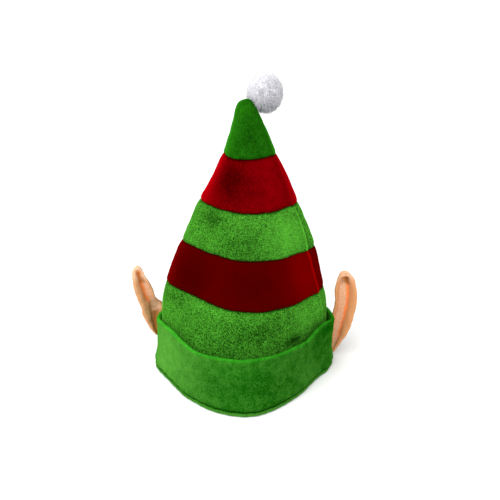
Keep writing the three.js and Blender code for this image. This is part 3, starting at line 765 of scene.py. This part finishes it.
def fibre_rows_clear(fibres, tree):
    """Which fibres stay outside the cloth of the tip."""
    ends = fibres.reshape(-1, FIBRE_SIDES + 1, 3)[:, [0, FIBRE_SIDES]]
    clear = np.ones(len(ends), bool)
    for i, row in enumerate(ends):
        for point in row:
            place, normal, _, distance = tree.find_nearest(Vector(point))
            if distance < CLOTH_GAP["fibre"] or (Vector(point) - place).dot(normal) < 0:
                clear[i] = False
    return clear


# Materials


def add_node(tree, kind, inputs=None, **settings):
    """Adds a node with its settings, and fills or links its inputs."""
    node = tree.nodes.new(kind)
    for name, value in settings.items():
        setattr(node, name, value)
    for name, value in (inputs or {}).items():
        if isinstance(value, bpy.types.NodeSocket):
            tree.links.new(value, node.inputs[name])
        else:
            node.inputs[name].default_value = value
    return node


def new_material(name):
    """An empty material: its node tree and its output node."""
    material = bpy.data.materials.new(name)
    material.use_nodes = True
    material.node_tree.nodes.clear()
    output = add_node(material.node_tree, "ShaderNodeOutputMaterial")
    return material, material.node_tree, output


def opaque(rgb):
    """A colour socket's four numbers."""
    return (*rgb, 1.0)


def pile_shade(tree, place, crush, finish, cloth):
    """How light the pile is: 0 gives the dark colour and 1 the open one, and it can go past both.
    Speckle, crushed patches and wide drifts are added up, then the marks of painted light and
    shade with the lay of the nap, then painted shade at seams."""
    speck = add_node(tree, "ShaderNodeTexVoronoi", {
        "Vector": place, "Scale": 1 / cloth.speck}).outputs["Color"]
    wide = add_node(tree, "ShaderNodeTexNoise", {
        "Vector": place, "Scale": 1 / (WIDE_PATCH * cloth.crush), "Detail": 1.0}).outputs[0]
    shade = 0.5
    for pattern, low, high, depth in ((speck, 0.2, 0.8, finish["speckle"]),
                                      (crush, 0.36, 0.64, finish["crushed"]),
                                      (wide, 0.35, 0.65, UNEVEN)):
        spread = add_node(tree, "ShaderNodeMapRange", {
            "Value": pattern, "From Min": low, "From Max": high, "To Min": -depth / 2,
            "To Max": depth / 2}).outputs[0]
        shade = add_node(tree, "ShaderNodeMath", {0: shade, 1: spread}, operation="ADD").outputs[0]
    seam = add_node(tree, "ShaderNodeAttribute", attribute_name="seam").outputs["Fac"]
    # painted light and shade of the marks, with the lay of the nap
    brushed = add_node(tree, "ShaderNodeAttribute", attribute_name="brushed").outputs["Fac"]
    shade = add_node(tree, "ShaderNodeMath", {0: shade, 1: brushed}, operation="ADD").outputs[0]
    # painted shade at seams
    return add_node(tree, "ShaderNodeMath", {
        0: seam, 1: -SEAM_DARK, 2: shade}, operation="MULTIPLY_ADD").outputs[0]


def velour(name, colours, cloth, fold=None):
    """Short-pile polyester velour, knitted, sheared and brushed. Clumps of pile give a light and
    dark speckle, patches brushed the other way look darker, and fibre tips seen edge on shine a
    little. Painted light and shade from the marks and the side seams, painted shade at seams and
    painted light on the cuff's folded edge change the colour too. Real pile is 0.1 mm fine: the
    speckle is drawn at the width of a clump."""
    finish = VELOURS[name]
    lit, deep = getattr(colours, finish["pile"]), getattr(colours, finish["pile"] + "_deep")
    material, tree, output = new_material(name)
    place = add_node(tree, "ShaderNodeTexCoord").outputs["Object"]
    nap = add_node(tree, "ShaderNodeTexNoise", {
        "Vector": place, "Scale": 1 / cloth.nap, "Detail": 1.0, "Roughness": 0.5}).outputs[0]
    crush = add_node(tree, "ShaderNodeTexNoise", {
        "Vector": place, "Scale": 1 / cloth.crush, "Detail": 3.0, "Roughness": 0.55,
        "Distortion": 0.2}).outputs[0]
    shade = pile_shade(tree, place, crush, finish, cloth)
    light = add_node(tree, "ShaderNodeMath", {0: shade, 1: 0.0}, operation="MAXIMUM").outputs[0]
    tint = add_node(tree, "ShaderNodeMix", {
        0: light, COLOUR_A: opaque(deep), COLOUR_B: opaque(lit)},
        data_type="RGBA", clamp_factor=False).outputs[COLOUR_OUT]
    # below 0 the painted shade goes darker than the dark colour
    sunk = add_node(tree, "ShaderNodeMath", {
        0: shade, 1: -1.0}, operation="MULTIPLY", use_clamp=True).outputs[0]
    tint = add_node(tree, "ShaderNodeMix", {
        0: sunk, COLOUR_A: tint, COLOUR_B: opaque([part * SUNK_SHADE for part in deep])},
        data_type="RGBA").outputs[COLOUR_OUT]
    # painted light on the upward-facing folded edge
    if fold is not None:
        bent = add_node(tree, "ShaderNodeAttribute", attribute_name="fold").outputs["Fac"]
        dark, bright = (opaque([share * part for part in fold]) for share in FOLD_SHADES)
        edge = add_node(tree, "ShaderNodeMix", {
            0: light, COLOUR_A: dark, COLOUR_B: bright}, data_type="RGBA").outputs[COLOUR_OUT]
        tint = add_node(tree, "ShaderNodeMix", {
            0: bent, COLOUR_A: tint, COLOUR_B: edge}, data_type="RGBA").outputs[COLOUR_OUT]
    relief = add_node(tree, "ShaderNodeBump", {
        "Strength": 0.8, "Distance": CRUSH_RELIEF, "Height": crush}).outputs[0]
    relief = add_node(tree, "ShaderNodeBump", {
        "Strength": 0.8, "Distance": NAP_RELIEF, "Height": nap, "Normal": relief}).outputs[0]
    shader = add_node(tree, "ShaderNodeBsdfPrincipled", {
        "Base Color": tint, "Roughness": 0.9, "IOR": 1.55, "Specular IOR Level": 0.0,
        "Sheen Weight": finish["weight"], "Sheen Roughness": 0.22,
        "Sheen Tint": opaque(linear(finish["sheen"])), "Normal": relief})
    tree.links.new(shader.outputs[0], output.inputs[0])
    return material


def peach_plush(colours):
    """Brushed polyester plush over wadding: a fine matt nap, painted warm light that bounces
    between the sides of a crease, painted brown shade deep in the hollow, and painted light as
    pale loose nap in dips and on the tip. The nap is drawn 0.8 mm wide, coarser than it is, so
    that it shows."""
    material, tree, output = new_material("peach_brushed_plush")
    place = add_node(tree, "ShaderNodeTexCoord").outputs["Object"]
    nap = add_node(tree, "ShaderNodeTexNoise", {
        "Vector": place, "Scale": 1 / PLUSH["nap"], "Detail": 2.0, "Roughness": 0.6}).outputs[0]
    blotch = add_node(tree, "ShaderNodeTexNoise", {
        "Vector": place, "Scale": 1 / PLUSH["blotch"], "Detail": 2.0}).outputs[0]
    # painted shade in the hollow
    hollow = add_node(tree, "ShaderNodeAttribute", attribute_name="hollow").outputs["Fac"]
    uneven = add_node(tree, "ShaderNodeMath", {
        0: blotch, 1: PLUSH["uneven"], 2: -PLUSH["uneven"] / 2},
        operation="MULTIPLY_ADD").outputs[0]
    depth = add_node(tree, "ShaderNodeMath", {0: hollow, 1: uneven}, operation="ADD").outputs[0]
    deep = add_node(tree, "ShaderNodeMapRange", {
        "Value": depth, "From Min": 0.35, "From Max": 0.8},
        interpolation_type="SMOOTHSTEP").outputs[0]
    loose = add_node(tree, "ShaderNodeMapRange", {
        "Value": nap, "From Min": 0.4, "From Max": 0.62, "To Min": 0.25},
        interpolation_type="SMOOTHSTEP").outputs[0]
    # pale loose nap, which also carries painted light
    nap_and_painted_light = add_node(tree, "ShaderNodeAttribute", attribute_name="loose").outputs["Fac"]
    loose = add_node(tree, "ShaderNodeMath", {
        0: loose, 1: nap_and_painted_light}, operation="MULTIPLY", use_clamp=True).outputs[0]
    open_pile = add_node(tree, "ShaderNodeMix", {
        0: loose, COLOUR_A: opaque(colours.peach), COLOUR_B: opaque(colours.nap)},
        data_type="RGBA").outputs[COLOUR_OUT]
    # painted warm light in the creases
    crease = add_node(tree, "ShaderNodeAttribute", attribute_name="crease").outputs["Fac"]
    warm = add_node(tree, "ShaderNodeMix", {
        0: crease, COLOUR_A: open_pile, COLOUR_B: opaque(colours.crease)},
        data_type="RGBA").outputs[COLOUR_OUT]
    tint = add_node(tree, "ShaderNodeMix", {
        0: deep, COLOUR_A: warm, COLOUR_B: opaque(colours.hollow)},
        data_type="RGBA").outputs[COLOUR_OUT]
    relief = add_node(tree, "ShaderNodeBump", {
        "Strength": 0.5, "Distance": PLUSH["relief"], "Height": nap}).outputs[0]
    shader = add_node(tree, "ShaderNodeBsdfPrincipled", {
        "Base Color": tint, "Roughness": 0.92, "IOR": 1.55, "Specular IOR Level": 0.05,
        "Sheen Weight": 0.4, "Sheen Roughness": 0.3,
        "Sheen Tint": opaque(linear(PLUSH["sheen"])), "Normal": relief})
    tree.links.new(shader.outputs[0], output.inputs[0])
    return material


def white_fluff(colours):
    """Carded acrylic fibre with no gloss: bright loose tips over a cooler, greyer mass, which
    painted shade on the underside, the dense middle and the roots brings out.
    """
    material, tree, output = new_material("white_carded_fluff")
    light = add_node(tree, "ShaderNodeAttribute", attribute_name="light").outputs["Fac"]
    tint = add_node(tree, "ShaderNodeMix", {
        0: light, COLOUR_A: opaque(colours.fluff_deep), COLOUR_B: opaque(colours.fluff)},
        data_type="RGBA").outputs[COLOUR_OUT]
    shader = add_node(tree, "ShaderNodeBsdfPrincipled", {
        "Base Color": tint, "Roughness": 0.95, "IOR": 1.5, "Specular IOR Level": 0.1,
        "Sheen Weight": 0.8, "Sheen Roughness": 0.4})
    tree.links.new(shader.outputs[0], output.inputs[0])
    return material


def pale_floor(colours):
    """Matt painted board: a plain pale ground that shows only soft shadows."""
    material, tree, output = new_material("pale_matt_board")
    shader = add_node(tree, "ShaderNodeBsdfPrincipled", {
        "Base Color": opaque(colours.floor), "Roughness": 0.9})
    tree.links.new(shader.outputs[0], output.inputs[0])
    return material


# Operators


class ELFHAT_OT_crown(bpy.types.Operator):
    """Makes the five cloth rings of the crown"""

    bl_idname = "elf_hat.crown"
    bl_label = "Crown"
    bl_options = {"REGISTER", "UNDO"}

    def execute(self, context):
        cloth, colours = context.scene.elf_hat_cloth, context.scene.elf_hat_colours
        finishes = {}
        for ring in CROWN_CLOTH:
            piece = smooth_copy(ring["node"], ring["node"] + "_cloth", hold=0.75)
            shape_cloth(piece, ring["sewn_to"], cloth, LIGHT_AND_NAP_MARKS[ring["node"]], ring["ridge"])
            name = ring["finish"]
            finishes[name] = finishes.get(name) or velour(name, colours, cloth)
            finish_piece(piece, ring["node"], finishes[name])
        return {"FINISHED"}


class ELFHAT_OT_cuff(bpy.types.Operator):
    """Makes the turned-up cuff of two layers and the rolled hem below it"""

    bl_idname = "elf_hat.cuff"
    bl_label = "Cuff and hem"
    bl_options = {"REGISTER", "UNDO"}

    def execute(self, context):
        cloth, colours = context.scene.elf_hat_cloth, context.scene.elf_hat_colours
        cuff = smooth_copy("cuff", "cuff_cloth", hold=0.0)
        open_below(cuff)
        # painted light where the cuff's folded edge faces up
        high = soft_step(*FOLD["heights"], points_of(cuff.data)[:, 2])
        facing_up = normals_of(cuff.data)[:, 2] * high
        shape_cloth(cuff, ["hem_roll"], cloth, LIGHT_AND_NAP_MARKS["cuff"])
        paint(cuff.data, "fold", FOLD["colour"] * soft_step(*FOLD["facing"], facing_up))
        layer = cuff.modifiers.new("layer", "SOLIDIFY")
        layer.thickness = cloth.cuff_layer
        layer.offset = -1
        apply_modifiers(cuff)
        pile = velour("cuff_velour", colours, cloth, fold=colours.fold)
        finish_piece(cuff, "cuff", pile)

        hem = smooth_copy("hem_roll", "hem_roll_cloth", hold=0.3)
        shape_cloth(hem, ["cuff"], cloth, LIGHT_AND_NAP_MARKS["hem_roll"])
        finish_piece(hem, "hem_roll",
                     velour("hem_velour", colours, cloth))
        return {"FINISHED"}


class ELFHAT_OT_ears(bpy.types.Operator):
    """Makes the two padded ears"""

    bl_idname = "elf_hat.ears"
    bl_label = "Ears"
    bl_options = {"REGISTER", "UNDO"}

    def execute(self, context):
        cloth, colours = context.scene.elf_hat_cloth, context.scene.elf_hat_colours
        plush = peach_plush(colours)
        for ear in EARS:
            piece = even_copy(ear["node"], ear["node"] + "_plush", EAR_FACE)
            shape_ear(piece, cloth, ear["nap"], ear["tighten"])
            paint(piece.data, "hollow", hollow_shade(piece, cloth, ear["shade"]))
            finish_piece(piece, ear["node"], plush)
        return {"FINISHED"}


class ELFHAT_OT_pompom(bpy.types.Operator):
    """Makes the pompom: a dense middle and loose fibres"""

    bl_idname = "elf_hat.pompom"
    bl_label = "Pompom"
    bl_options = {"REGISTER", "UNDO"}

    def execute(self, context):
        settings, colours = context.scene.elf_hat_pompom, context.scene.elf_hat_colours
        low, high = (np.array(corner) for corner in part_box("pompom"))
        centre = (low + high) / 2
        wide, tall = (high[0] - low[0]) / 2, (high[2] - low[2]) / 2
        stretch = np.array([1, 1, tall / wide])
        tip = tree_of(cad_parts["tip_panel"].data)

        core, core_faces, core_light = dense_middle(wide, settings)
        core = kept_outside(core * stretch + centre, tip, CLOTH_GAP["core"])
        fibres, triangles, light = fluff_fibres(wide, settings)
        fibres = fibres * stretch + centre
        clear = fibre_rows_clear(fibres, tip)
        keep = np.repeat(clear, len(triangles) // len(clear))
        faces = core_faces + [tuple(t) for t in (triangles[keep] + len(core)).tolist()]
        points = np.vstack([core, fibres])
        mesh = bpy.data.meshes.new("pompom_fluff")
        mesh.from_pydata(points.tolist(), [], faces)
        mesh.update()
        paint(mesh, "light", np.concatenate([core_light, light]))
        drop_loose(mesh)
        mesh.shade_smooth()
        piece = new_piece("pompom_fluff", mesh)
        finish_piece(piece, "pompom", white_fluff(colours))
        return {"FINISHED"}


class ELFHAT_OT_stage(bpy.types.Operator):
    """Makes the floor, the light and the camera"""

    bl_idname = "elf_hat.stage"
    bl_label = "Stage"
    bl_options = {"REGISTER", "UNDO"}

    def execute(self, context):
        scene = context.scene
        stage, colours = scene.elf_hat_stage, scene.elf_hat_colours

        disc = bmesh.new()
        bmesh.ops.create_circle(disc, cap_ends=True, segments=96, radius=FLOOR_RADIUS)
        mesh = bpy.data.meshes.new("floor")
        disc.to_mesh(mesh)
        disc.free()
        mesh.materials.append(pale_floor(colours))
        floor = new_piece("floor", mesh)

        key = bpy.data.lights.new("key_light", "SUN")
        key.energy = stage.key
        key.angle = stage.key_spread
        key_object = new_piece("key_light", key)
        key_object.rotation_euler = (math.pi / 2 - stage.key_height, 0, -stage.key_turn)

        world = bpy.data.worlds.new("studio")
        world.use_nodes = True
        background = world.node_tree.nodes["Background"]
        background.inputs["Color"].default_value = opaque(colours.floor)
        background.inputs["Strength"].default_value = stage.fill
        scene.world = world
        scene.view_settings.view_transform = "Standard"

        lens = bpy.data.cameras.new("camera")
        lens.lens = stage.lens
        camera = new_piece("camera", lens)
        camera.location = stage.camera_place
        camera.rotation_euler = (math.pi / 2 - stage.camera_tilt, 0, 0)
        scene.camera = camera
        return {"FINISHED"}


class ELFHAT_PT_panel(bpy.types.Panel):
    """Lists the steps that dress the hat, with their sizes and colours"""

    bl_idname = "ELFHAT_PT_panel"
    bl_label = "Elf Hat"
    bl_space_type = "VIEW_3D"
    bl_region_type = "UI"
    bl_category = "Elf Hat"

    def draw(self, context):
        scene = context.scene
        for title, settings in (("Cloth", scene.elf_hat_cloth),
                                ("Colours", scene.elf_hat_colours),
                                ("Pompom", scene.elf_hat_pompom),
                                ("Stage", scene.elf_hat_stage)):
            box = self.layout.box()
            box.label(text=title)
            for name in settings.__annotations__:
                box.prop(settings, name)
        for operator in OPERATORS:
            self.layout.operator(operator.bl_idname)


OPERATORS = (ELFHAT_OT_stage, ELFHAT_OT_crown, ELFHAT_OT_cuff, ELFHAT_OT_ears, ELFHAT_OT_pompom)
SETTINGS = {
    "elf_hat_cloth": ElfHatCloth,
    "elf_hat_colours": ElfHatColours,
    "elf_hat_pompom": ElfHatPompom,
    "elf_hat_stage": ElfHatStage,
}


def register():
    for settings in SETTINGS.values():
        bpy.utils.register_class(settings)
    for name, settings in SETTINGS.items():
        setattr(bpy.types.Scene, name, PointerProperty(type=settings))
    for operator in OPERATORS:
        bpy.utils.register_class(operator)
    bpy.utils.register_class(ELFHAT_PT_panel)


def unregister():
    bpy.utils.unregister_class(ELFHAT_PT_panel)
    for operator in reversed(OPERATORS):
        bpy.utils.unregister_class(operator)
    for name in SETTINGS:
        delattr(bpy.types.Scene, name)
    for settings in SETTINGS.values():
        bpy.utils.unregister_class(settings)


def main():
    register()
    bpy.ops.elf_hat.stage()
    bpy.ops.elf_hat.crown()
    bpy.ops.elf_hat.cuff()
    bpy.ops.elf_hat.ears()
    bpy.ops.elf_hat.pompom()


if __name__ == "__main__":
    main()
